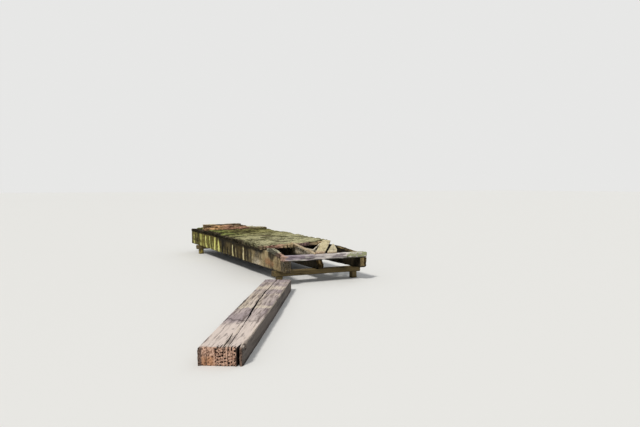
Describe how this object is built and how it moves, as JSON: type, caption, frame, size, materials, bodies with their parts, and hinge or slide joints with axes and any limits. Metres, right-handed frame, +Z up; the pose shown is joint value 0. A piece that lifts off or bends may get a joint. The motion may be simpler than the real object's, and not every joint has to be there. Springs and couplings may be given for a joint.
{
  "type": "wooden footbridge",
  "caption": "Old wooden footbridge: a boarded span on girders, broken away at its near end, and a heavy split plank that leads up to it at an angle.",
  "frame": {"origin": "on the floor, below the middle of the whole bridge", "axes": "+X along the boarded span from its far end to its broken near end and on to the plank, +Y to the right as one looks towards the far end, +Z up"},
  "size_m": [10.7738, 4.5312, 0.797],
  "materials": {
    "girder_wood": "rough and damp, with pale yellow-green lichen in upright streaks",
    "support_wood": "rough and damp, dark brown with some lichen",
    "deck_wood": "rough old boards under a grey-green crust of moss and lichen",
    "rotten_red_wood": "rotten, crumbling and reddish brown, grey on the right third",
    "threshold_wood": "weathered purple-grey, pale on its lower edge",
    "rotten_grey_wood": "rotten and fibrous, greenish grey, reddish at the low end",
    "split_wood": "dry split wood, beige",
    "plank_wood": "weathered beige-grey with long checks, reddish brown at the end grain"
  },
  "bodies": {
    "root": {"girder_left": "girder_wood", "girder_middle": "girder_wood", "girder_right": "girder_wood", "far_cap_beam": "support_wood", "near_cap_beam": "support_wood", "far_post_left": "support_wood", "far_post_right": "support_wood", "near_post_left": "support_wood", "near_post_right": "support_wood", "far_sleeper": "rotten_red_wood", "near_threshold": "threshold_wood", "deck_board_01": "deck_wood", "deck_board_02": "deck_wood", "deck_board_03": "deck_wood", "deck_board_04": "deck_wood", "deck_board_05": "deck_wood", "deck_board_06": "deck_wood", "deck_board_07": "deck_wood", "deck_board_08": "deck_wood", "deck_board_09": "deck_wood", "deck_board_10": "deck_wood", "deck_board_11": "deck_wood", "deck_board_12": "deck_wood", "deck_board_13": "deck_wood", "deck_board_14": "deck_wood", "deck_board_15": "deck_wood", "deck_board_16": "deck_wood", "deck_board_17": "deck_wood", "deck_board_18": "deck_wood", "deck_board_19": "deck_wood", "deck_board_20": "deck_wood", "deck_board_21": "deck_wood", "broken_board_long": "deck_wood", "broken_board_short": "deck_wood", "rotten_strip": "rotten_grey_wood", "fallen_board": "split_wood", "fallen_splinter": "split_wood", "broken_piece": "split_wood", "loose_lath": "split_wood", "plank_left_half": "plank_wood", "plank_right_half": "plank_wood"}
  },
  "joints": []
}
